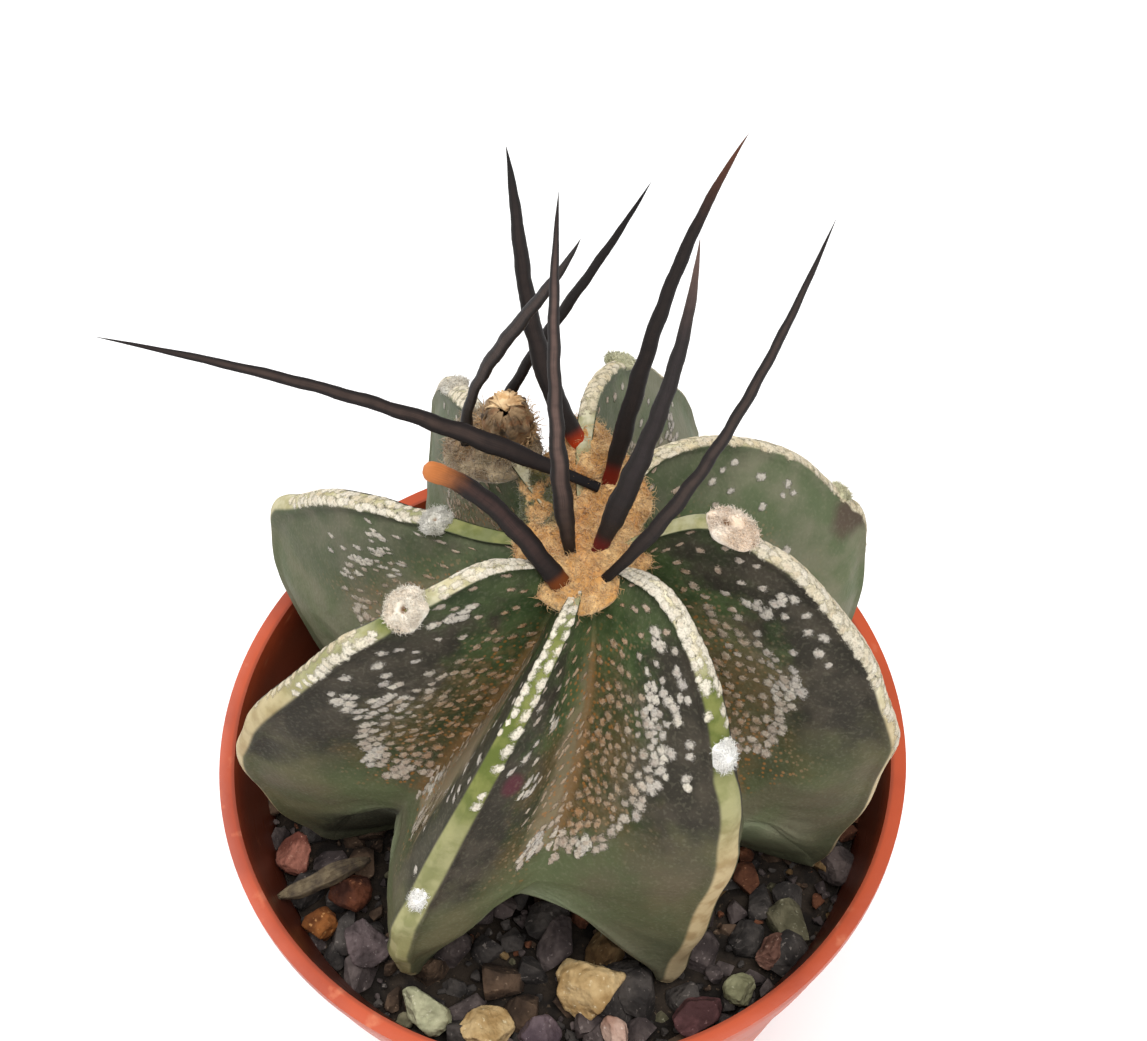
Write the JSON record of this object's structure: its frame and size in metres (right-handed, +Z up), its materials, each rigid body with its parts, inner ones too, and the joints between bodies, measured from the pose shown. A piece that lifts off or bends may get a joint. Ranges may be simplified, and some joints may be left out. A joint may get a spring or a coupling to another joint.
{
  "type": "potted goats horn cactus",
  "caption": "Small ribbed ball cactus with long dark curved spines and pale flecks, grown in gritty mix in a round plastic pot.",
  "frame": {"origin": "centre of the pot's underside, which is also the middle of the bottom of the part's box", "axes": "+Z up along the pot's axis; -Y towards the front, the side the picture looks from; +X to the right"},
  "size_m": [0.055, 0.055, 0.1085],
  "materials": {
    "pot_plastic": "satin terracotta-coloured plastic, slightly scuffed",
    "stem_skin": "matt grey-green skin with pale woolly flecks",
    "crown_wool": "matt cream-tan wool, with dark satin horn spines",
    "dried_flower": "matt, papery and brown",
    "potting_mix": "matt dark crushed grit",
    "cream_stone": "matt pale stone",
    "green_stone": "matt pale green stone",
    "plum_stone": "matt dark plum stone",
    "pink_stone": "matt pinkish stone",
    "brown_stone": "matt brown stone",
    "grey_stone": "matt dark grey stone",
    "lava_stone": "matt porous red-brown stone",
    "bark": "matt weathered bark"
  },
  "bodies": {
    "root": {"pot": "pot_plastic", "cactus_stem": "stem_skin", "crown_wool_and_spines": "crown_wool", "dried_flower": "dried_flower", "potting_mix": "potting_mix", "cream_stone_large": "cream_stone", "cream_stone_small": "cream_stone", "pale_green_stone": "green_stone", "sage_stone": "green_stone", "plum_stone_large": "plum_stone", "plum_stone_small": "plum_stone", "pink_stone": "pink_stone", "rose_stone": "brown_stone", "brown_stone": "brown_stone", "grey_stone_front": "grey_stone", "grey_stone_right": "grey_stone", "lava_stone": "lava_stone", "rust_stone": "lava_stone", "bark_chip": "bark"}
  },
  "joints": []
}
